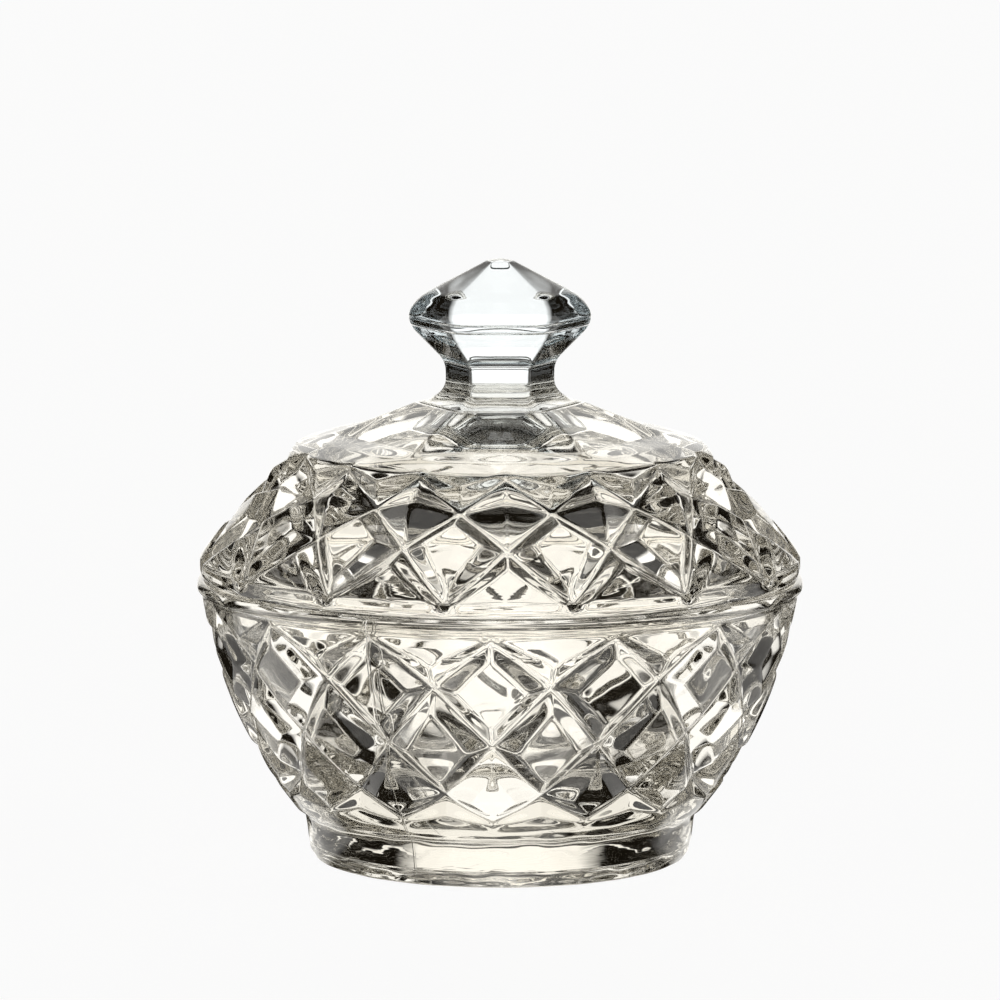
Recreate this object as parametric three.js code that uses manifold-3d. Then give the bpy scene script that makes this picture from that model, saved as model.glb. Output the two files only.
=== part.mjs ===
import * as THREE from 'three';
import { mergeVertices } from 'three/addons/utils/BufferGeometryUtils.js';
import Module from 'manifold-3d';

// Powder jar of heavy pressed crystal: a footed bowl, a domed lid that lifts off, and a six-sided knob
// bonded to the lid. Millimetres, +Z up, the foot stands on z = 0 and the front of the jar faces -Y.
// Fifteen pairs of crossing mitre cuts leave raised diamonds round the bowl and round the lid.

// Pattern of the cuts
const repeats = 15; // diamonds round the jar
const turnedSides = 60; // sides of every turned surface
const cutAngle = 104; // degrees between the two faces of a cut
const cutReach = 5; // how far the V stands up from its bottom line, clear of the glass
const cutStations = 8; // sections along one cut

// Bowl
const bowlHeight = 53.7;
const rimRadius = 57.6;
const beadHeight = 3.6; // smooth bead round the rim, above the cuts
const beadProud = 0.5; // how far the bead stands out from the cut wall
const beadRound = 1.6; // the bead's upper edge is nearly half-round
const mouthRound = 1.0;
const bellyInset = 4.1; // corner of the wall's curve, in from the bead
const bellyHeight = 26.2; // and up from the table
const bowlTurn = -1.7; // degrees, from the front to a point of the pattern
const bowlCutDepth = 2.6;
const bowlRows = [0.1, 0.22, 0.485, 0.77, 1]; // rows of crossings, as shares of the wall from foot to bead

const footRadius = 36.2;
const footFlare = 0.9; // the foot's top is this much wider
const footHeight = 7.4;
const footFillet = 2.3; // height of the hollow between foot and wall
const footFilletWidth = 1.9; // the wall starts this far out from the foot's top
const footBevel = 1.3;
const footBevelHeight = 2.6;
const standRing = 6.6; // width of the ring that touches the table
const recessDepth = 2.2; // hollow under the foot
const recessDraft = 1.5;

const rimWall = 6.4; // glass between the outside and the mouth
const mouthDepth = 5.2; // straight part of the mouth, which takes the lid's ring
const floorThickness = 11.8; // at the edge of the dish
const floorRadius = 22.0; // the floor is a shallow dish inside this radius
const floorDish = 2.0;
const cavityInset = 4.6; // corner of the inside curve, in from the mouth
const cavityCorner = 19.0; // and up from the table

// Lid
const seatGap = 0.3; // between the lid and the rim
const lidSetback = 0.5; // the lid's band stands in from the bowl's bead
const lidBandHeight = 3.2;
const bandRound = 1.0; // lower edge of the band
const flankInset = 2.6; // corner of the flank's curve, in from the band
const flankRise = 4.4; // and up from the band
const shoulderRadius = 39.0;
const shoulderRise = 24.6; // shoulder above the lid's seat
const crownRadius = 18.2; // where the top meets the pad under the knob
const crownRise = 30.5;
const crownInset = 11.5; // corner of the hollow top, in from the shoulder
const crownDip = 3.6; // and down from the crown
const ridgeRadius = 31.0; // the pad's six ridges run down the top and fade out here
const lidTurn = -10.4; // degrees, from the front to a point of the pattern
const lidCutDepth = 3.0;
const lidRows = [0, 0.455, 0.765, 0.985]; // rows of crossings, as shares of the flank from band to shoulder

const ringClearance = 0.8; // between the lid's ring and the mouth
const ringDrop = 3.4; // the ring hangs this far into the mouth
const ringWidth = 3.2;
const ringRound = 0.6;
const crownThickness = 7.5; // glass between the crown and the edge of the hollow's ceiling
const domeRadius = 20.0; // the ceiling is a shallow dome inside this radius
const ceilingDome = 2.6;
const domeInset = 4.0; // corner of the hollow's curve, in from the ring
const domeCorner = 15.5; // and up from the seat

// Pad and knob, six-sided: radii are to the corners
const cornerSharpness = 18; // higher gives tighter corners
const padHeight = 1.9; // pad on the crown that carries the knob
const padMargin = 0.5; // the pad stands out past the knob
const bondGap = 0.3;
const knobSides = 24; // every fourth side point is a corner
const knobFootRadius = 14.3;
const waistRadius = 10.3;
const waistBottom = 4.6; // heights of the knob are taken from its underside
const waistTop = 7.2;
const neckRadius = 11.1; // the taper opens out from here
const neckTop = 8.7;
const taperRadius = 16.6;
const taperTop = 14.2;
const girdleRadius = 17.3;
const girdleBottom = 15.7;
const girdleTop = 17.6;
const bevelRadius = 16.3; // bevel between girdle and pointed top
const bevelHeight = 19.1;
const pointRadius = 14.3;
const pointBottom = 20.9;
const tipRadius = 2.1;
const tipRise = 0.25; // the tip is very slightly domed
const knobHeight = 27.5;

const curveSteps = 6;
const degree = Math.PI / 180;

const wasm = await Module();
wasm.setup();
const { Manifold, Mesh } = wasm;

const at = (radius, height) => new THREE.Vector2(radius, height);

// Closed solid from a geometry whose seams and poles still hold doubled points.
function solid(geometry) {
  const bare = new THREE.BufferGeometry();
  bare.setAttribute('position', geometry.getAttribute('position'));
  bare.setIndex(geometry.index);
  const welded = mergeVertices(bare, 1e-5);
  const index = welded.index.array;
  const kept = [];
  for (let i = 0; i < index.length; i += 3) {
    const [a, b, c] = index.subarray(i, i + 3);
    if (a !== b && b !== c && c !== a) kept.push(a, b, c);
  }
  return new Manifold(new Mesh({
    numProp: 3,
    vertProperties: Float32Array.from(welded.getAttribute('position').array),
    triVerts: Uint32Array.from(kept),
  }));
}

// Six-sided section with eased corners and a flat to the front: its radius at an angle from the front,
// as a share of the radius at the corners.
function sixSided(angle) {
  let sum = 0;
  for (let flat = 0; flat < 6; flat += 1) {
    sum += Math.max(Math.cos(angle - (flat * Math.PI) / 3), 0) ** cornerSharpness;
  }
  return Math.cos(Math.PI / 6) * (sum / 2) ** (-1 / cornerSharpness);
}

// Body turned about Z from a profile of (radius, height) points that starts and ends on the axis.
// sixSidedShare says how far the section at a radius and height is six-sided: 0 is round, 1 is fully so.
function turned(profile, sides = turnedSides, sixSidedShare = () => 0) {
  const geometry = new THREE.LatheGeometry(profile, sides);
  geometry.rotateX(Math.PI / 2);
  const place = geometry.getAttribute('position');
  for (let i = 0; i < place.count; i += 1) {
    const x = place.getX(i);
    const y = place.getY(i);
    const share = sixSidedShare(Math.hypot(x, y), place.getZ(i));
    const scale = 1 + share * (sixSided(Math.atan2(x, -y)) - 1);
    place.setXY(i, x * scale, y * scale);
  }
  return solid(geometry);
}

// Points of a quarter round at a corner, from one point to another.
function rounded(from, corner, to, steps) {
  return new THREE.QuadraticBezierCurve(from, corner, to).getPoints(steps);
}

// One mitre cut. Its bottom line climbs the wall curve from row to row, half a diamond round per row,
// and rises to the surface at both ends. The V opens square to the wall.
function mitreCut(wall, rows, depth, turn, hand) {
  const course = new THREE.SplineCurve(rows.map((share, row) => new THREE.Vector2(row, share)));
  const bottom = course.getPoints(cutStations).map(({ x: row, y: share }) => {
    const point = wall.getPointAt(Math.min(share, 1));
    const along = wall.getTangentAt(Math.min(share, 1));
    const fromMiddle = (2 * row) / (rows.length - 1) - 1;
    const sunk = depth * (1 - fromMiddle ** 4);
    const radius = point.x - along.y * sunk;
    const height = point.y + along.x * sunk;
    const angle = turn * degree + (hand * row * Math.PI) / repeats;
    const out = new THREE.Vector3(Math.sin(angle), -Math.cos(angle), 0);
    const place = out.clone().multiplyScalar(radius).setZ(height);
    const normal = out.multiplyScalar(along.y).setZ(-along.x);
    return { place, normal };
  });

  const halfWidth = cutReach * Math.tan((cutAngle / 2) * degree);
  const positions = [];
  bottom.forEach(({ place, normal }, i) => {
    const before = bottom[Math.max(i - 1, 0)].place;
    const after = bottom[Math.min(i + 1, bottom.length - 1)].place;
    const side = after.clone().sub(before).cross(normal).setLength(halfWidth);
    const top = place.clone().addScaledVector(normal, cutReach);
    positions.push(...place, ...top.clone().add(side), ...top.clone().sub(side));
  });

  const index = [0, 1, 2];
  for (let i = 0; i < positions.length / 3 - 3; i += 3) {
    for (let side = 0; side < 3; side += 1) {
      const a = i + side;
      const b = i + ((side + 1) % 3);
      index.push(a, a + 3, b, b, a + 3, b + 3);
    }
  }
  const last = positions.length / 3 - 3;
  index.push(last, last + 2, last + 1);

  const geometry = new THREE.BufferGeometry();
  geometry.setAttribute('position', new THREE.Float32BufferAttribute(positions, 3));
  geometry.setIndex(index);
  return solid(geometry);
}

// Both hands of the cut, repeated round the jar.
function lattice(wall, rows, depth, turn) {
  const cuts = [];
  for (let i = 0; i < repeats; i += 1) {
    for (const hand of [1, -1]) {
      cuts.push(mitreCut(wall, rows, depth, turn + (i * 360) / repeats, hand));
    }
  }
  return Manifold.union(cuts);
}

function part(name, body, color, roughness) {
  const mesh = body.getMesh();
  const geometry = new THREE.BufferGeometry();
  geometry.setAttribute('position', new THREE.BufferAttribute(mesh.vertProperties, 3));
  geometry.setIndex(new THREE.BufferAttribute(mesh.triVerts, 1));
  geometry.computeVertexNormals();
  const material = new THREE.MeshStandardMaterial({ color, roughness, metalness: 0 });
  material.name = `${name}_glass`;
  const object = new THREE.Mesh(geometry, material);
  object.name = name;
  return object;
}

// Bowl: recess, stand ring, foot, cut wall, bead, then the inside from the mouth down to the floor.
const beadBottom = bowlHeight - beadHeight;
const mouthRadius = rimRadius - rimWall;
const floorHeight = recessDepth + floorThickness;
const wallRadius = rimRadius - beadProud;
const footTop = at(footRadius + footFlare, footHeight);
const wallStart = at(footTop.x + footFilletWidth, footHeight + footFillet);
const bowlWall = new THREE.QuadraticBezierCurve(
  wallStart,
  at(wallRadius - bellyInset, bellyHeight),
  at(wallRadius, beadBottom),
);
const hollow = new THREE.QuadraticBezierCurve(footTop, at(footTop.x + 0.3, wallStart.y - 0.8), wallStart);
const cavity = new THREE.QuadraticBezierCurve(
  at(mouthRadius, bowlHeight - mouthDepth),
  at(mouthRadius - cavityInset, cavityCorner),
  at(floorRadius, floorHeight),
);
const dish = new THREE.QuadraticBezierCurve(
  at(floorRadius, floorHeight),
  at(floorRadius * 0.45, floorHeight - floorDish),
  at(0, floorHeight - floorDish),
);
const standInner = footRadius - footBevel - standRing;
const bowlProfile = [
  at(0, recessDepth),
  at(standInner - recessDraft, recessDepth),
  at(standInner, 0),
  at(footRadius - footBevel, 0),
  at(footRadius, footBevelHeight),
  ...hollow.getPoints(3),
  ...bowlWall.getPoints(curveSteps).slice(1),
  at(rimRadius, beadBottom + beadProud * 2),
  ...rounded(
    at(rimRadius, bowlHeight - beadRound),
    at(rimRadius, bowlHeight),
    at(rimRadius - beadRound, bowlHeight),
    3,
  ),
  at(mouthRadius + mouthRound, bowlHeight),
  at(mouthRadius, bowlHeight - mouthRound),
  ...cavity.getPoints(curveSteps),
  ...dish.getPoints(3).slice(1),
];
const bowl = turned(bowlProfile).subtract(lattice(bowlWall, bowlRows, bowlCutDepth, bowlTurn));

// Lid: top with its pad, flank and band outside; seat, locating ring and hollow inside.
const seat = bowlHeight + seatGap;
const lidBandRadius = rimRadius - lidSetback;
const domeRise = crownRise - crownThickness;
const shoulderHeight = seat + shoulderRise;
const padTop = seat + crownRise + padHeight;
const padRadius = knobFootRadius + padMargin;
const flank = new THREE.QuadraticBezierCurve(
  at(lidBandRadius, seat + lidBandHeight),
  at(lidBandRadius - flankInset, seat + lidBandHeight + flankRise),
  at(shoulderRadius, shoulderHeight),
);
const top = new THREE.QuadraticBezierCurve(
  at(shoulderRadius, shoulderHeight),
  at(shoulderRadius - crownInset, seat + crownRise - crownDip),
  at(crownRadius, seat + crownRise),
);
const ringRadius = mouthRadius - ringClearance;
const hollowRadius = ringRadius - ringWidth;
const dome = new THREE.QuadraticBezierCurve(
  at(hollowRadius, seat),
  at(hollowRadius - domeInset, seat + domeCorner),
  at(domeRadius, seat + domeRise),
);
const ceiling = new THREE.QuadraticBezierCurve(
  at(0, seat + domeRise + ceilingDome),
  at(domeRadius / 2, seat + domeRise + ceilingDome),
  at(domeRadius, seat + domeRise),
);
const lidProfile = [
  ...ceiling.getPoints(3).slice(0, -1),
  ...dome.getPoints(curveSteps).reverse(),
  at(hollowRadius, seat - ringDrop),
  at(ringRadius - ringRound, seat - ringDrop),
  at(ringRadius, seat - ringDrop + ringRound),
  at(ringRadius, seat),
  ...rounded(
    at(lidBandRadius - bandRound, seat),
    at(lidBandRadius, seat),
    at(lidBandRadius, seat + bandRound),
    2,
  ),
  ...flank.getPoints(curveSteps),
  ...top.getPoints(5).slice(1),
  at((crownRadius + padRadius) / 2 - 0.4, padTop - padHeight * 0.6),
  at(padRadius, padTop),
  at(0, padTop),
];
function crownShare(radius, height) {
  if (height < shoulderHeight + 0.01) return 0;
  return THREE.MathUtils.smoothstep(ridgeRadius - radius, 0, ridgeRadius - crownRadius);
}
const lidCuts = lattice(flank, lidRows, lidCutDepth, lidTurn);
const lid = turned(lidProfile, turnedSides, crownShare).subtract(lidCuts);

// Knob: hollow-sided foot, waist, taper, girdle, bevel and pointed top.
const knobBase = padTop + bondGap;
const knobFoot = new THREE.QuadraticBezierCurve(
  at(knobFootRadius, 0),
  at(waistRadius, waistBottom * 0.4),
  at(waistRadius, waistBottom),
);
const knobProfile = [
  at(0, 0),
  ...knobFoot.getPoints(4),
  at(waistRadius, waistTop),
  at(neckRadius, neckTop),
  at(taperRadius, taperTop),
  at(girdleRadius, girdleBottom),
  at(girdleRadius, girdleTop),
  at(bevelRadius, bevelHeight),
  at(pointRadius, pointBottom),
  at(tipRadius, knobHeight - tipRise),
  at(0, knobHeight),
];
const knob = turned(knobProfile, knobSides, () => 1).translate(0, 0, knobBase);

const jar = new THREE.Group();
jar.name = 'powder_jar';
jar.add(part('bowl', bowl, 0xe9e6d6, 0.05));
jar.add(part('lid', lid, 0xe9e6d6, 0.05));
jar.add(part('knob', knob, 0xe4e8ec, 0.05));
export default jar;
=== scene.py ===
import math

import bpy
import numpy as np
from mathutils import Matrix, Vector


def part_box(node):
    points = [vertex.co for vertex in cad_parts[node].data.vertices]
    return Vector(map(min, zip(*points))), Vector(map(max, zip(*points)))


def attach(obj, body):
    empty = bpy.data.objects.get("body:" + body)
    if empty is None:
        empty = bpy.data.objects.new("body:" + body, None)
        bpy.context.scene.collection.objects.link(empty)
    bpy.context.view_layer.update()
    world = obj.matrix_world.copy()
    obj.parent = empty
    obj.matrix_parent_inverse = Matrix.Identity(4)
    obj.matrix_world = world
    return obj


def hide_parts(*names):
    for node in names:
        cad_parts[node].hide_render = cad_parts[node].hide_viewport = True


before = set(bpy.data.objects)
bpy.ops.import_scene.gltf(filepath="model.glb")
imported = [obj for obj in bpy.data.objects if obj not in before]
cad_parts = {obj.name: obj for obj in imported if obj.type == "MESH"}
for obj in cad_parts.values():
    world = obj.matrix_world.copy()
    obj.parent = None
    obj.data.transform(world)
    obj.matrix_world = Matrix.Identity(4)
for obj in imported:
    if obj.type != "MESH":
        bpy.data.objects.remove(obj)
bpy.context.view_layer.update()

# Cut-glass powder jar: bowl, lid and knob as fine meshes, in a white studio. Shapes are worked out in
# millimetres and go into the meshes in metres. Angles run from the front (-Y) towards +X.
mm = 0.001
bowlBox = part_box("bowl")
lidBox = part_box("lid")
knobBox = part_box("knob")

curvePoints = 400             # on a curve that is measured or sampled again
axisGap = 0.4                 # radius of the innermost ring round a pole

pattern = {
    "repeats": 15,            # diamonds round the jar
    "steps": 36,              # mesh columns to each diamond
    "valley": 0.35,           # rounding of a cut's bottom
    "edge": 0.25,             # rounding where a cut meets a window
    "fade": 0.4,              # share of the margin round the cuts over which they fade out
    "plainStep": 0.75,        # between rings on the wall's plain ends
    "plainGap": (0.3, 0.5, 0.05),     # free of rings: before the first row, after the last one, at the end
}


def quadCurve(start, corner, end, count):
    # Quadratic curve: (1-t)^2 start + 2t(1-t) corner + t^2 end.
    t = np.linspace(0, 1, count)[:, None]
    start, corner, end = (np.array(p, float) for p in (start, corner, end))
    return (1 - t) ** 2 * start + 2 * t * (1 - t) * corner + t ** 2 * end


def straightRun(start, end, step=2.5, support=0.3):
    # Even points along a straight run, with one more close to each end so that the shading of an eased
    # edge stays at the edge.
    length = np.hypot(*(end - start))
    pieces = int(length / step) + 1
    close = min(support, length / 3)
    even = np.arange(1, pieces) * length / pieces
    at = np.unique(np.round(np.concatenate([[close], even, [length - close]]), 6))
    return start + (end - start) * at[:, None] / length


def easedPath(corners, arcPoints=5):
    # Straight runs between (radius, height, ease) corners. Each corner is a quadratic arc that starts
    # "ease" before it and ends as far after it.
    points = np.array([c[:2] for c in corners], float)
    out = [points[:1]]
    last = points[0]
    for i in range(1, len(points)):
        here = points[i]
        ease = corners[i][2] if i < len(points) - 1 else 0
        before = points[i - 1] - here
        entry = here + before / np.hypot(*before) * ease
        out.append(straightRun(last, entry))
        if ease:
            after = points[i + 1] - here
            last = here + after / np.hypot(*after) * ease
            out.append(quadCurve(entry, here, last, arcPoints))
        else:
            out.append(here[None])
            last = here
    return np.vstack(out)


def runLength(path):
    # Distance along a path at each of its points.
    return np.concatenate([[0], np.cumsum(np.hypot(*np.diff(path, axis=0).T))])


def alongPath(path, at):
    # Points of a path at given distances from its start.
    run = runLength(path)
    return np.column_stack([np.interp(at, run, path[:, 0]), np.interp(at, run, path[:, 1])])


def outwardNormals(path):
    # A path runs with the glass on its left, so (dz, -dr) points out of the glass.
    along = np.gradient(path, axis=0)
    normal = np.column_stack([along[:, 1], -along[:, 0]])
    return normal / np.hypot(*normal.T)[:, None]


def throughRows(shares, query):
    # Share of the wall at a fractional row: a Catmull-Rom curve through (row, share).
    t = np.linspace(0, len(shares) - 1, curvePoints)
    i = np.minimum(t.astype(int), len(shares) - 2)
    f = t - i
    last = len(shares) - 1
    share = np.array(shares, float)

    def blend(a, b, c, d):
        return 0.5 * (2 * b + (c - a) * f + (2 * a - 5 * b + 4 * c - d) * f ** 2
                      + (3 * b - a - 3 * c + d) * f ** 3)

    near = [np.clip(i + k, 0, last) for k in (-1, 0, 1, 2)]
    return np.interp(query, blend(*(n.astype(float) for n in near)), blend(*(share[n] for n in near)))


def softMax(a, b, width):
    # The larger of two values, rounded off where they are about equal.
    return 0.5 * (a + b + np.sqrt((a - b) ** 2 + width ** 2))


def cutDepth(angle, row, beyond, radius, rowPitch, lattice):
    # How far the cuts go in at each point. Two families of grooves cross at whole numbers of u and v. A
    # groove is a V, its bottom at the depth for the row, its sides climbing by "slopes" for each millimetre
    # away from the bottom line. Past the last row the distance is taken to where two grooves meet.
    pitch = 2 * math.pi / pattern["repeats"]
    last = len(lattice["rows"]) - 1
    phase = (angle - math.radians(lattice["turn"])) / pitch
    u = phase - row / 2
    v = phase + row / 2
    depth = np.interp(row, *lattice["depths"])
    tile = np.clip(np.floor(v) - np.floor(u), 0, last).astype(int)
    slope = np.array(lattice["slopes"])[tile]
    lean = np.arctan2(radius * pitch / 2, rowPitch)
    sides = []
    for w in (u, v):
        off = np.abs(w - np.round(w)) * pitch * radius
        square = off * np.cos(lean) + beyond * np.sin(lean)
        past = (beyond > 0) & (off * np.sin(lean) < beyond * np.cos(lean))
        away = np.where(past, np.hypot(off, beyond), square)
        away = np.sqrt(away ** 2 + pattern["valley"] ** 2) - pattern["valley"]
        sides.append(depth - slope * away)
    cut = softMax(sides[0], sides[1], pattern["edge"])
    return softMax(cut, 0, pattern["edge"])


def ripple(angle, height, amount, waves):
    # Slow unevenness of pressed glass: the mean of a few crossed sine waves. Each is (whole number of waves
    # round the jar, waves in 2 pi mm upwards, shift).
    total = 0
    for around, upright, shift in waves:
        total = total + np.sin(around * angle + shift) * np.sin(upright * height + 2.1 * shift)
    return amount * total / len(waves)


def hexagonShare(angle, sharpness):
    # Radius of a six-sided section as a share of the radius at its corners: one over a high-power sum of
    # the cosines to the six faces, so the corners come out rounded. A higher sharpness, one for all or one
    # for each ring, gives tighter corners.
    faces = np.arange(6) * math.pi / 3
    power = np.asarray(sharpness, float)[..., None]
    near = (np.clip(np.cos(angle[..., None] - faces), 0, 1) ** power[..., None]).sum(-1)
    return math.cos(math.pi / 6) * (near / 2) ** (-1 / power)


def turnedMesh(name, radius, height, angle, lowPole, highPole, rising=None):
    # Closed surface from rings of points: radius and height on a grid of (ring, column), and a point at
    # each end of the axis. "rising" picks the diagonal of each four-sided cell.
    rings, columns = radius.shape
    x = radius * np.sin(angle)
    y = -radius * np.cos(angle)
    z = np.broadcast_to(height, radius.shape)
    grid = np.stack([x, y, z], -1).reshape(-1, 3)
    verts = np.vstack([[[0, 0, lowPole]], grid, [[0, 0, highPole]]]) * mm

    ring, column = np.meshgrid(np.arange(rings - 1), np.arange(columns), indexing="ij")
    after = (column + 1) % columns
    a = 1 + ring * columns + column
    b = 1 + ring * columns + after
    c = 1 + (ring + 1) * columns + after
    d = 1 + (ring + 1) * columns + column
    if rising is None:
        rising = np.zeros(a.shape, bool)
    first = np.where(rising[..., None], np.stack([a, b, c], -1), np.stack([a, b, d], -1))
    second = np.where(rising[..., None], np.stack([a, c, d], -1), np.stack([b, c, d], -1))
    around = np.arange(columns)
    low = np.stack([np.zeros(columns, int), 1 + (around + 1) % columns, 1 + around], -1)
    top = 1 + (rings - 1) * columns
    pole = np.full(columns, len(verts) - 1)
    high = np.stack([top + around, top + (around + 1) % columns, pole], -1)
    faces = np.vstack([low, first.reshape(-1, 3), second.reshape(-1, 3), high]).astype(np.int32)

    mesh = bpy.data.meshes.new(name)
    mesh.vertices.add(len(verts))
    mesh.vertices.foreach_set("co", verts.ravel())
    mesh.loops.add(faces.size)
    mesh.loops.foreach_set("vertex_index", faces.ravel())
    mesh.polygons.add(len(faces))
    mesh.polygons.foreach_set("loop_start", np.arange(0, faces.size, 3, dtype=np.int32))
    mesh.polygons.foreach_set("use_smooth", np.ones(len(faces), bool))
    mesh.update(calc_edges=True)
    mesh.validate()
    obj = bpy.data.objects.new(name, mesh)
    bpy.context.scene.collection.objects.link(obj)
    print(name, len(faces), "triangles")
    return obj


def latticedBody(before, wall, after, lattice):
    # Turned body whose wall carries the lattice. The wall is sampled row by row so that the grooves run
    # along the diagonals of the grid; the paths before and after it are taken as they come.
    columns = pattern["repeats"] * pattern["steps"]
    turn = math.radians(lattice["turn"])
    angle = turn + np.arange(columns) * 2 * math.pi / columns
    last = len(lattice["rows"]) - 1
    rowAt = np.linspace(0, last, last * pattern["steps"] // 2 + 1)
    length = runLength(wall)[-1]
    cutAt = throughRows(lattice["rows"], rowAt) * length
    leadGap, tailGap, endGap = pattern["plainGap"]
    lead = np.arange(0, cutAt[0] - leadGap, pattern["plainStep"])
    tail = np.arange(cutAt[-1] + tailGap, length - endGap, pattern["plainStep"])
    wallAt = np.concatenate([lead, cutAt, tail])

    path = np.vstack([before, alongPath(wall, wallAt), after])
    normal = outwardNormals(path)
    run = runLength(path) - runLength(path)[len(before)] + wallAt[0]
    row = np.interp(run, cutAt, rowAt)
    beyond = np.maximum(cutAt[0] - run, 0) + np.maximum(run - cutAt[-1], 0)
    rowPitch = np.interp(row, rowAt, np.gradient(cutAt, rowAt))

    margin = lattice["margin"]
    near = (beyond < margin) & (run > -margin) & (run < length + margin)
    fade = np.clip((margin - beyond) / (pattern["fade"] * margin), 0, 1)
    cut = cutDepth(angle[None, :], row[:, None], beyond[:, None], path[:, :1], rowPitch[:, None], lattice)
    cut = cut * near[:, None] * fade[:, None]
    radius = path[:, :1] - normal[:, :1] * cut
    height = path[:, 1:] - normal[:, 1:] * cut

    phase = (angle[None, :] - turn) * pattern["repeats"] / (2 * math.pi)
    u = phase - row[:, None] / 2
    v = phase + row[:, None] / 2 + 1 / pattern["steps"]
    rising = np.abs(u - np.round(u)) < np.abs(v - np.round(v))
    return path, radius, height, angle, rising[:-1]


print("shapes ready")


bowlSize = {
    "rim": (bowlBox[1].x - bowlBox[0].x) / 2 / mm,   # outside radius of the bead
    "height": bowlBox[1].z / mm,
    "bead": 2.5,              # height of the smooth bead
    "beadProud": 0.7,
    "beadFoot": (0.4, 0.3),   # the bead's lower corner: up from the wall's top, and easing
    "beadEase": (1.6, 1.0),   # outer and inner edge; the bead is nearly half-round
    "belly": (4.1, 26.2),     # corner of the wall's curve: in from the wall's top, and its height
    "foot": 36.2,
    "footFlare": 0.9,
    "footHeight": 7.4,
    "fillet": (1.9, 2.3),     # hollow between foot and wall: out and up
    "filletCorner": (0.3, 0.8),       # its curve's corner: out from the foot, down from the wall
    "bevel": (0.8, 1.3),      # lower edge of the foot: in and up
    "bevelEase": (0.5, 0.4),
    "standRing": 6.6,         # width of the ring that the bowl stands on
    "standEase": 0.5,
    "recess": (1.5, 2.2),     # hollow under the foot: draft and depth
    "recessEase": 0.8,
    "rimWall": 6.4,
    "mouthDepth": 5.2,        # upright part of the mouth
    "cavityCorner": (4.6, 19.0),      # corner of the inside's curve: in from the mouth, and height
    "floor": (22.0, 14.0),    # radius and height where the dished floor starts
    "dish": (9.9, 12.0),      # the dish's corner and height
    "points": (8, 17, 10),    # rings on the fillet, the inside and the dish
    "footWave": 0.22,         # mm of unevenness on the foot
    "footWaves": ((15, 0.9, 0.6), (22, 1.7, 1.9), (9, 2.6, 0.2), (31, 1.2, 2.7)),
    "footFade": (2.0, 3.0),   # where it starts above the wall's foot, and the distance over which it grows
    "wallWave": 0.07,         # mm of unevenness inside, and on the lower wall up to the mouth's radius
    "wallWaves": ((5, 0.31, 0.4), (7, 0.47, 1.3), (3, 0.19, 2.2)),
    "wallWaveFrom": (12, 11), # radius and height above which it applies,
    "wallWavePast": 0.1,      # and how far past the mouth's radius
}

bowlLattice = {
    "turn": -1.7,             # degrees, from the front to a point of the pattern
    "rows": (0.098, 0.215, 0.474, 0.752, 0.977),     # shares of the wall's length where the cuts cross
    "slopes": (0.72, 0.80, 0.80, 0.80, 0.62),
    "depths": ((0, 1, 2, 3, 3.6, 4), (0.15, 2.6, 2.4, 2.3, 1.9, 0.5)),     # row, and depth there
    "margin": 4.0,            # the cuts end this far past the first and last row
}


def makeBowl(size, lattice):
    # Path from under the foot, up the outside, over the bead and down the inside to the dished floor.
    rim, height, foot = size["rim"], size["height"], size["foot"]
    wallTop = (rim - size["beadProud"], height - size["bead"])
    footTop = (foot + size["footFlare"], size["footHeight"])
    wallFoot = (footTop[0] + size["fillet"][0], footTop[1] + size["fillet"][1])
    flat = foot - size["bevel"][0]
    stand = flat - size["standRing"]
    mouth = (rim - size["rimWall"], height - size["mouthDepth"])
    draft, depth = size["recess"]
    filletPoints, cavityPoints, dishPoints = size["points"]

    under = easedPath([
        (axisGap, depth, 0),
        (stand - draft, depth, size["recessEase"]),
        (stand, 0, size["standEase"]),
        (flat, 0, size["bevelEase"][0]),
        (foot, size["bevel"][1], size["bevelEase"][1]),
        footTop + (0,),
    ])
    filletCorner = (footTop[0] + size["filletCorner"][0], wallFoot[1] - size["filletCorner"][1])
    fillet = quadCurve(footTop, filletCorner, wallFoot, filletPoints)[1:-1]
    wall = quadCurve(wallFoot, (wallTop[0] - size["belly"][0], size["belly"][1]), wallTop, curvePoints)
    bead = easedPath([
        wallTop + (0,),
        (rim, wallTop[1] + size["beadFoot"][0], size["beadFoot"][1]),
        (rim, height, size["beadEase"][0]),
        (mouth[0], height, size["beadEase"][1]),
        mouth + (0,),
    ])
    cavityCorner = (mouth[0] - size["cavityCorner"][0], size["cavityCorner"][1])
    cavity = quadCurve(mouth, cavityCorner, size["floor"], cavityPoints)[1:]
    dish = quadCurve(size["floor"], size["dish"], (axisGap, size["dish"][1]), dishPoints)[1:]

    path, radius, high, angle, rising = latticedBody(
        np.vstack([under, fillet]), wall, np.vstack([bead[1:], cavity, dish]), lattice)

    above, over = size["footFade"]
    low = np.clip((wallFoot[1] + above - path[:, 1]) / over, 0, 1) * np.clip((path[:, 0] - stand) / over, 0, 1)
    footWave = ripple(angle[None, :], path[:, 1:], size["footWave"], size["footWaves"])
    fromRadius, fromHeight = size["wallWaveFrom"]
    toRadius = mouth[0] + size["wallWavePast"]
    held = (path[:, 0] > fromRadius) & (path[:, 0] < toRadius) & (path[:, 1] > fromHeight)
    wallWave = ripple(angle[None, :], path[:, 1:], size["wallWave"], size["wallWaves"])
    radius = radius + low[:, None] * footWave + held[:, None] * wallWave
    return turnedMesh("jarBowl", radius, high, angle[None, :], depth, size["dish"][1], rising)


bowl = makeBowl(bowlSize, bowlLattice)


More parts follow.
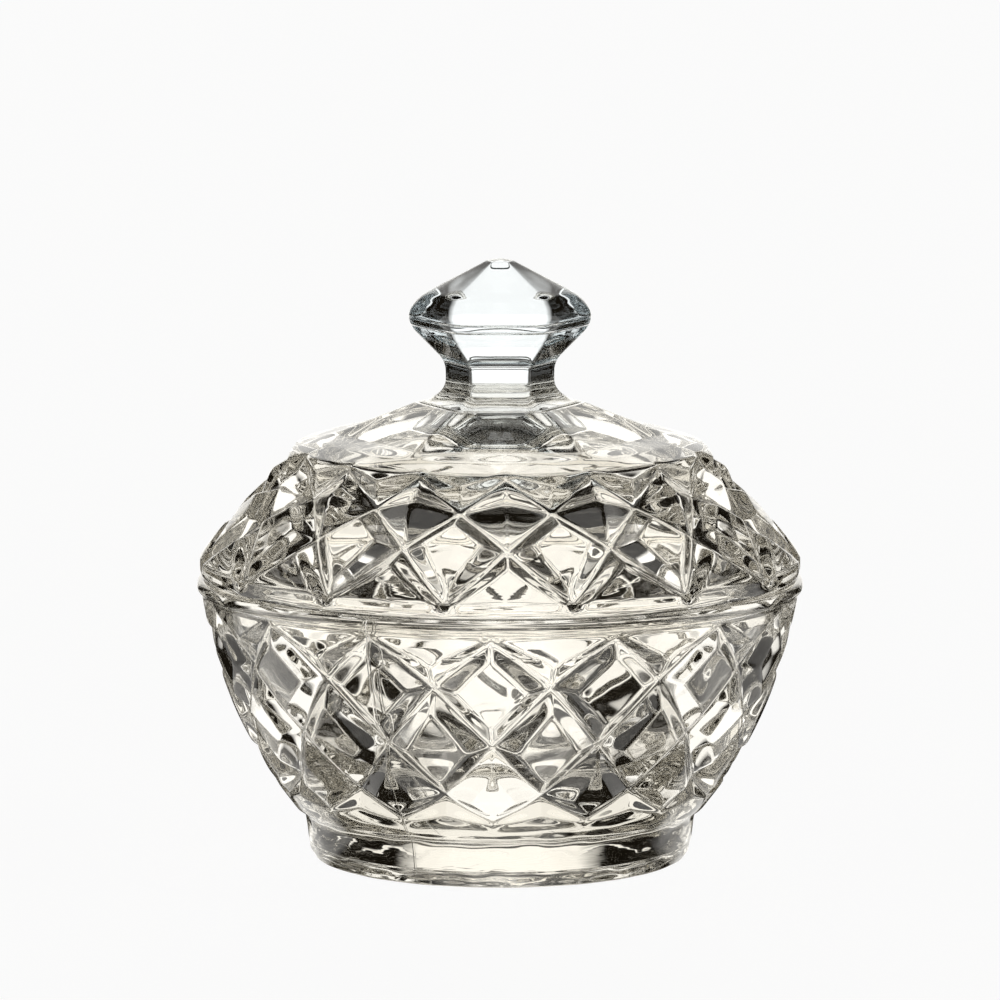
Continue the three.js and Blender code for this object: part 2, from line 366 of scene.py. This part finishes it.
lidSize = {
    "seatGap": 0.3,           # the lid's band lies this far above the bowl's rim
    "band": (lidBox[1].x - lidBox[0].x) / 2 / mm,
    "bandHeight": 3.2,
    "bandEase": 1.4,
    "flank": (2.6, 4.4),      # corner of the flank's curve: in from the band and up from it
    "shoulder": (39.0, 24.6), # radius, and height above the seat
    "sweep": (4.5, 1.1),      # corner of the top's curve: in from the shoulder and down from the crown
    "crown": (31.0, 27.0),    # where the six flat faces under the knob start
    "pad": (16.2, knobBox[0].z / mm + 0.05),      # just meets the knob, as one glass
    "ringClearance": 0.8,     # between the locating ring and the bowl's mouth
    "ringWidth": 3.2,
    "ringBottom": lidBox[0].z / mm,
    "ringEase": (0.6, 0.3),   # its lower edges, and its foot on the seat
    "dome": (4.0, 15.5),      # corner of the inside's curve: in from the ring and up from the seat
    "ceiling": (20.0, 23.0),  # radius and height above the seat where the domed ceiling starts
    "peak": (10.0, 25.6),     # the ceiling's corner and height
    "points": (12, 28, 26),   # rings on the ceiling, the dome and the sweep
    "sixSided": (31.0, 34.0), # the six sides fade out between these radii
    "cornerSharpness": 40,
    "insideWave": 0.07,       # mm of unevenness inside
    "insideWaves": ((5, 0.33, 1.1), (8, 0.51, 0.2), (3, 0.22, 2.9)),
    "insideWaveFrom": 12,     # radius from which it applies
}

lidLattice = {
    "turn": -10.4,
    "rows": (0.0, 0.455, 0.765, 0.985),
    "slopes": (0.75, 0.95, 0.68, 0.7),
    "depths": ((0, 0.4, 1, 2, 2.6, 3), (1.0, 2.1, 2.85, 3.3, 2.0, 0.5)),
    "margin": 3.0,
}


def makeLid(size, lattice):
    # Path from the middle of the ceiling, down the inside, round the locating ring, up the flank and over
    # the top to the pad under the knob.
    seat, band = bowlSize["height"] + size["seatGap"], size["band"]
    flankStart = (band, seat + size["bandHeight"])
    shoulder = (size["shoulder"][0], seat + size["shoulder"][1])
    crown = (size["crown"][0], seat + size["crown"][1])
    ring = bowlSize["rim"] - bowlSize["rimWall"] - size["ringClearance"]
    inside = ring - size["ringWidth"]
    ceiling = (size["ceiling"][0], seat + size["ceiling"][1])
    peak = seat + size["peak"][1]
    roofPoints, domePoints, sweepPoints = size["points"]

    roof = quadCurve((axisGap, peak), (size["peak"][0], peak), ceiling, roofPoints)[:-1]
    domeCorner = (inside - size["dome"][0], seat + size["dome"][1])
    dome = quadCurve(ceiling, domeCorner, (inside, seat), domePoints)[:-1]
    base = easedPath([
        (inside, seat, 0),
        (inside, size["ringBottom"], size["ringEase"][0]),
        (ring, size["ringBottom"], size["ringEase"][0]),
        (ring, seat, size["ringEase"][1]),
        (band, seat, size["bandEase"]),
        flankStart + (0,),
    ])[:-1]
    flankCorner = (band - size["flank"][0], flankStart[1] + size["flank"][1])
    wall = quadCurve(flankStart, flankCorner, shoulder, curvePoints)
    sweepCorner = (shoulder[0] - size["sweep"][0], crown[1] - size["sweep"][1])
    sweep = quadCurve(shoulder, sweepCorner, crown, sweepPoints)
    faces = easedPath([crown + (0,), size["pad"] + (0,)])
    pad = straightRun(np.array(size["pad"], float), np.array([0.0, size["pad"][1]]))[:-1]
    top = np.vstack([sweep[1:], faces[1:], pad])

    path, radius, high, angle, rising = latticedBody(np.vstack([roof, dome, base]), wall, top, lattice)

    place = np.arange(len(path))
    inner, outer = size["sixSided"]
    share = np.clip((outer - path[:, 0]) / (outer - inner), 0, 1) * (place >= len(path) - len(top))
    share = share ** 2 * (3 - 2 * share)
    radius = radius * (1 + share[:, None] * (hexagonShare(angle, size["cornerSharpness"])[None, :] - 1))
    held = (place < len(roof) + len(dome)) & (path[:, 0] > size["insideWaveFrom"])
    wave = ripple(angle[None, :], path[:, 1:], size["insideWave"], size["insideWaves"])
    radius = radius + held[:, None] * wave
    return turnedMesh("jarLid", radius, high, angle[None, :], peak, size["pad"][1], rising)


lid = makeLid(lidSize, lidLattice)


knobSize = {
    "bottom": knobBox[0].z / mm,
    "top": knobBox[1].z / mm,
    "girdle": (knobBox[1].x - knobBox[0].x) / 2 / mm,
    "foot": 15.4,             # radii are taken at the corners
    "footCorner": 0.35,       # share of the waist's height where the hollow foot's curve has its corner
    "footPoints": 14,
    "waist": (10.3, 4.6),     # radius, and where the hollow foot ends above the bottom
    "taper": ((10.35, 7.2, 1.0), (11.1, 8.7, 0.9), (16.6, 14.2, 1.3)),     # radius, height, easing
    "girdleEdges": ((15.9, 0.8), (17.4, 0.8)),        # height above the bottom, easing
    "crownEdges": ((16.3, 19.1, 1.0), (14.3, 20.9, 0.9), (2.5, 27.15, 0.25)),
    "tip": 0.3,               # radius of the small flat on top
    "corners": ((0, 7, 12, 17, 22, 27), (20, 26, 16, 9, 11, 14)),     # height, sharpness of the corners
    "columns": 264,
}


def makeKnob(size):
    # Six-sided turned shape: the profile gives the corner radius at each height, hexagonShare the section.
    low, girdle = size["bottom"], size["girdle"]
    waist, waistLow = size["waist"]
    footCorner = (waist, low + waistLow * size["footCorner"])
    foot = quadCurve((size["foot"], low), footCorner, (waist, low + waistLow), size["footPoints"])
    body = easedPath(
        [(waist, low + waistLow, 0)]
        + [(r, low + z, ease) for r, z, ease in size["taper"]]
        + [(girdle, low + z, ease) for z, ease in size["girdleEdges"]]
        + [(r, low + z, ease) for r, z, ease in size["crownEdges"]]
        + [(size["tip"], size["top"], 0)])
    base = straightRun(np.array([0.0, low]), np.array([size["foot"], low]))
    path = np.vstack([base, foot, body[1:]])
    angle = np.arange(size["columns"]) * 2 * math.pi / size["columns"]
    sharpness = np.interp(path[:, 1] - low, *size["corners"])
    radius = path[:, :1] * hexagonShare(angle[None, :], sharpness)
    return turnedMesh("jarKnob", radius, path[:, 1:], angle[None, :], low, size["top"])


knob = makeKnob(knobSize)


def mathNode(tree, operation, second=None):
    node = tree.nodes.new("ShaderNodeMath")
    node.operation = operation
    if second is not None:
        node.inputs[1].default_value = second
    return node


def smoothStep(tree, low, high):
    # 0 at "low" and 1 at "high", with a smooth curve between; "high" may be the lower number.
    node = tree.nodes.new("ShaderNodeMapRange")
    node.interpolation_type = "SMOOTHSTEP"
    node.inputs["From Min"].default_value = low
    node.inputs["From Max"].default_value = high
    return node


def through(tree, output, *nodes):
    # Passes an output through the first input of each node in turn.
    for node in nodes:
        tree.links.new(output, node.inputs[0])
        output = node.outputs[0]
    return output


def joined(tree, operation, first, second):
    # Two outputs put through one operation.
    node = mathNode(tree, operation)
    tree.links.new(first, node.inputs[0])
    tree.links.new(second, node.inputs[1])
    return node.outputs[0]


def mixedShader(tree, share, first, second):
    # "share" is a number or an output: 0 gives the first shader, 1 the second.
    node = tree.nodes.new("ShaderNodeMixShader")
    if isinstance(share, float):
        node.inputs[0].default_value = share
    else:
        tree.links.new(share, node.inputs[0])
    tree.links.new(first, node.inputs[1])
    tree.links.new(second, node.inputs[2])
    return node.outputs[0]


# Noise patterns for the glass: waves to the metre along X, Y and Z, and detail.
slowWaves = {"scale": (1000 / 9,) * 3, "detail": 1.0}
knobWaves = {"scale": (1000 / 6,) * 3, "detail": 1.0}
levelStreaks = {"scale": (25, 25, 650), "detail": 2.0}
lowSwirls = {"scale": (220, 220, 500), "detail": 0.0}

# Each relief is a pattern, its height in mm, and the zones of heights that it keeps to (start and full).
glassLook = {
    "bowl": {
        "tint": (0.988, 0.975, 0.943, 1), "roughness": 0.02, "ior": 1.53,
        "depthTint": (0.66, 0.63, 0.545, 1), "depth": 10.0,       # the tint deepens along the light's way
        "relief": (
            (slowWaves, 0.10, ()),
            (levelStreaks, 0.035, ((10.2, 9.2), (49.8, 51.2))),   # foot and rim
            (lowSwirls, 0.12, ((3.3, 2.9),)),                     # the foot's bevel
        ),
        # mould seams: how many, the turn of one of them in degrees, and height; the edge and crest of the
        # ridge are given as 1 less the cosine of "count" times the angle
        "seams": {"count": 3, "turn": -25.7, "height": 0.25, "ridge": (2.2e-4, 0.2e-4)},
    },
    "lid": {
        "tint": (0.988, 0.975, 0.943, 1), "roughness": 0.02, "ior": 1.53,
        "depthTint": (0.66, 0.63, 0.545, 1), "depth": 10.0,
        "relief": (
            (slowWaves, 0.10, ()),
            (levelStreaks, 0.035, ((77.5, 79.5), (58.2, 57.0))),  # top and band
        ),
        "seams": None,
    },
    "knob": {
        "tint": (0.945, 0.965, 0.99, 1), "roughness": 0.02, "ior": 1.54,
        "depthTint": (0.5, 0.62, 0.66, 1), "depth": 9.0,
        "relief": (
            (knobWaves, 0.05, ()),
            (levelStreaks, 0.03, ((101.5, 100.5),)),              # below the girdle
        ),
        "seams": None,
    },
}


def addBump(tree, height, millimetres, before):
    # One more layer of bump on top of the one before.
    bump = tree.nodes.new("ShaderNodeBump")
    bump.inputs["Distance"].default_value = millimetres * mm
    tree.links.new(height, bump.inputs["Height"])
    if before:
        tree.links.new(before, bump.inputs["Normal"])
    return bump.outputs[0]


def noiseRelief(tree, place, upright, waves, zones):
    # Noise stretched along each axis, kept to the zones of heights, or all over where there are none.
    stretch = tree.nodes.new("ShaderNodeMapping")
    stretch.inputs["Scale"].default_value = waves["scale"]
    noise = tree.nodes.new("ShaderNodeTexNoise")
    noise.inputs["Scale"].default_value = 1.0
    noise.inputs["Detail"].default_value = waves["detail"]
    tree.links.new(place, stretch.inputs["Vector"])
    tree.links.new(stretch.outputs[0], noise.inputs["Vector"])
    if not zones:
        return noise.outputs["Fac"]
    shares = [through(tree, upright, smoothStep(tree, start * mm, full * mm)) for start, full in zones]
    share = shares[0]
    for other in shares[1:]:
        share = joined(tree, "MAXIMUM", other, share)
    return joined(tree, "MULTIPLY", noise.outputs["Fac"], share)


def seamRelief(tree, split, seams):
    # Upright ridges, evenly spaced round the axis: the cosine of "count" times the angle is near 1 there.
    low, high = (1 - edge for edge in seams["ridge"])
    front = through(tree, split.outputs["Y"], mathNode(tree, "MULTIPLY", -1.0))
    angle = joined(tree, "ARCTAN2", split.outputs["X"], front)
    return through(
        tree, angle,
        mathNode(tree, "SUBTRACT", math.radians(seams["turn"])),
        mathNode(tree, "MULTIPLY", float(seams["count"])),
        mathNode(tree, "COSINE"),
        smoothStep(tree, low, high))


def glass(name, look):
    # Clear pressed glass with its relief and mould seams as layers of bump.
    mat = bpy.data.materials.new(name)
    mat.use_nodes = True
    tree = mat.node_tree
    shader = tree.nodes["Principled BSDF"]
    shader.inputs["Base Color"].default_value = look["tint"]
    shader.inputs["Roughness"].default_value = look["roughness"]
    shader.inputs["IOR"].default_value = look["ior"]
    shader.inputs["Transmission Weight"].default_value = 1.0

    place = tree.nodes.new("ShaderNodeTexCoord").outputs["Object"]
    split = tree.nodes.new("ShaderNodeSeparateXYZ")
    tree.links.new(place, split.inputs[0])
    bump = None
    for waves, height, zones in look["relief"]:
        bump = addBump(tree, noiseRelief(tree, place, split.outputs["Z"], waves, zones), height, bump)
    if look["seams"]:
        bump = addBump(tree, seamRelief(tree, split, look["seams"]), look["seams"]["height"], bump)
    tree.links.new(bump, shader.inputs["Normal"])

    depth = tree.nodes.new("ShaderNodeVolumeAbsorption")
    depth.inputs["Color"].default_value = look["depthTint"]
    depth.inputs["Density"].default_value = look["depth"]
    tree.links.new(depth.outputs[0], tree.nodes["Material Output"].inputs["Volume"])
    return mat


for obj, node in ((bowl, "bowl"), (lid, "lid"), (knob, "knob")):
    obj.data.materials.append(glass(node + "Glass", glassLook[node]))
    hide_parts(node)
    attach(obj, "bowl_body" if node == "bowl" else "lid_body")
print("glass ready")


studio = {
    "aimHeight": 68.0,        # height on the jar's axis at the middle of the picture
    "distance": 1503.5,
    "elevation": 8.65,        # degrees, looking down
    "lens": 284.9,
    "sensor": 36,
    "clipEnd": 20,            # metres
    "white": 0.98,            # background as the camera sees it
    "panels": 4.0,            # white panels round the jar, with dark gaps between, as the glass sees them
    "panelWhite": 1.38,
    "panelTint": (1.0, 0.985, 0.95),
    "panelSoft": (-0.16, 0.12),       # a panel's soft rim, start and end, and its bright core: cosine of
    "panelCore": (0.08, 0.38),        # the number of panels times the angle from a panel's middle
    "coreShare": 0.5,
    "panelTop": (0.56, 0.50), # height on the unit sphere where the panels end, and where they are still full
    "gap": (0.007, 0.0055, 0.0035),
    "bounces": 20,            # light crosses cut glass many times
}

floorSize = {
    "radius": 2600.0,
    "sides": 96,
    "drop": 0.2,              # it lies this far below the foot
    "colour": (0.95, 0.95, 0.95, 1),
    "roughness": 0.9,
    "white": 1.1,             # as the camera sees it
    "shadeShare": 0.15,       # part of that white that takes the jar's shadow
    "panelShare": 0.90,       # against the panels, as the glass sees it
}


def panelPattern(tree, vector, size):
    # 1 on the panels and 0 in the gaps, from the angle of a vector round the upright axis: a soft rim and a
    # core. The vector's height is given back too.
    split = tree.nodes.new("ShaderNodeSeparateXYZ")
    tree.links.new(vector, split.inputs[0])
    angle = joined(tree, "ARCTAN2", split.outputs["X"], split.outputs["Y"])
    wave = through(tree, angle, mathNode(tree, "MULTIPLY", size["panels"]), mathNode(tree, "COSINE"))
    both = tree.nodes.new("ShaderNodeMix")
    both.inputs["Factor"].default_value = size["coreShare"]
    tree.links.new(through(tree, wave, smoothStep(tree, *size["panelSoft"])), both.inputs["A"])
    tree.links.new(through(tree, wave, smoothStep(tree, *size["panelCore"])), both.inputs["B"])
    return both.outputs[0], split.outputs["Z"]


def panelColour(tree, share, gap, panel):
    # The gap's colour at 0 and the panel's at 1.
    tint = tree.nodes.new("ShaderNodeMix")
    tint.data_type = "RGBA"
    tint.inputs[6].default_value = gap + (1,)
    tint.inputs[7].default_value = panel + (1,)
    tree.links.new(share, tint.inputs[0])
    return tint.outputs[2]


def makeFloor(floor, size):
    around = np.arange(floor["sides"]) * 2 * math.pi / floor["sides"]
    rim = np.stack([np.cos(around), np.sin(around), np.zeros(len(around))], -1) * floor["radius"] * mm
    rim[:, 2] = -floor["drop"] * mm
    mesh = bpy.data.meshes.new("studioFloor")
    mesh.from_pydata(rim.tolist(), [], [list(range(len(around)))])
    disc = bpy.data.objects.new("studioFloor", mesh)
    bpy.context.scene.collection.objects.link(disc)

    mat = bpy.data.materials.new("floorWhite")
    mat.use_nodes = True
    tree = mat.node_tree
    matte = tree.nodes["Principled BSDF"]
    matte.inputs["Base Color"].default_value = floor["colour"]
    matte.inputs["Roughness"].default_value = floor["roughness"]
    matte.inputs["Specular IOR Level"].default_value = 0.0

    # seen directly: white, with a share that takes the shadow
    plain = tree.nodes.new("ShaderNodeEmission")
    plain.inputs["Strength"].default_value = floor["white"]
    seen = mixedShader(tree, floor["shadeShare"], plain.outputs[0], matte.outputs[0])

    # seen in or through the glass: white sectors in line with the panels
    place = tree.nodes.new("ShaderNodeTexCoord").outputs["Object"]
    sector = panelPattern(tree, place, size)[0]
    glow = tree.nodes.new("ShaderNodeEmission")
    glow.inputs["Strength"].default_value = size["panelWhite"] * floor["panelShare"]
    tree.links.new(panelColour(tree, sector, size["gap"], size["panelTint"]), glow.inputs["Color"])

    ray = tree.nodes.new("ShaderNodeLightPath").outputs
    byGlass = joined(tree, "ADD", ray["Is Glossy Ray"], ray["Is Transmission Ray"])
    direct = mixedShader(tree, ray["Is Camera Ray"], matte.outputs[0], seen)
    surface = mixedShader(tree, byGlass, direct, glow.outputs[0])
    tree.links.new(surface, tree.nodes["Material Output"].inputs["Surface"])
    disc.data.materials.append(mat)


def makeSky(size):
    # The panels round the jar, and plain white for the camera.
    world = bpy.data.worlds.new("studioSky")
    bpy.context.scene.world = world
    world.use_nodes = True
    tree = world.node_tree
    tree.nodes.clear()
    plain = tree.nodes.new("ShaderNodeBackground")
    plain.inputs["Strength"].default_value = size["white"]
    room = tree.nodes.new("ShaderNodeBackground")
    toward = tree.nodes.new("ShaderNodeTexCoord").outputs["Generated"]
    panel, upright = panelPattern(tree, toward, size)
    below = through(tree, upright, smoothStep(tree, *size["panelTop"]))
    white = tuple(size["panelWhite"] * c for c in size["panelTint"])
    colour = panelColour(tree, joined(tree, "MULTIPLY", panel, below), size["gap"], white)
    tree.links.new(colour, room.inputs["Color"])
    camera = tree.nodes.new("ShaderNodeLightPath").outputs["Is Camera Ray"]
    out = tree.nodes.new("ShaderNodeOutputWorld")
    tree.links.new(mixedShader(tree, camera, room.outputs[0], plain.outputs[0]), out.inputs["Surface"])


def makeCamera(size):
    data = bpy.data.cameras.new("photoCamera")
    data.sensor_width = size["sensor"]
    data.lens = size["lens"]
    data.clip_end = size["clipEnd"]
    camera = bpy.data.objects.new("photoCamera", data)
    tilt = math.radians(size["elevation"])
    away = size["distance"] * mm
    camera.location = (0, -away * math.cos(tilt), size["aimHeight"] * mm + away * math.sin(tilt))
    camera.rotation_euler = (math.pi / 2 - tilt, 0, 0)
    bpy.context.scene.collection.objects.link(camera)
    bpy.context.scene.camera = camera


makeFloor(floorSize, studio)
makeSky(studio)
makeCamera(studio)
bpy.context.scene.view_settings.view_transform = "Standard"
for kind in ("max_bounces", "transmission_bounces", "glossy_bounces"):
    setattr(bpy.context.scene.cycles, kind, studio["bounces"])
print("studio ready")
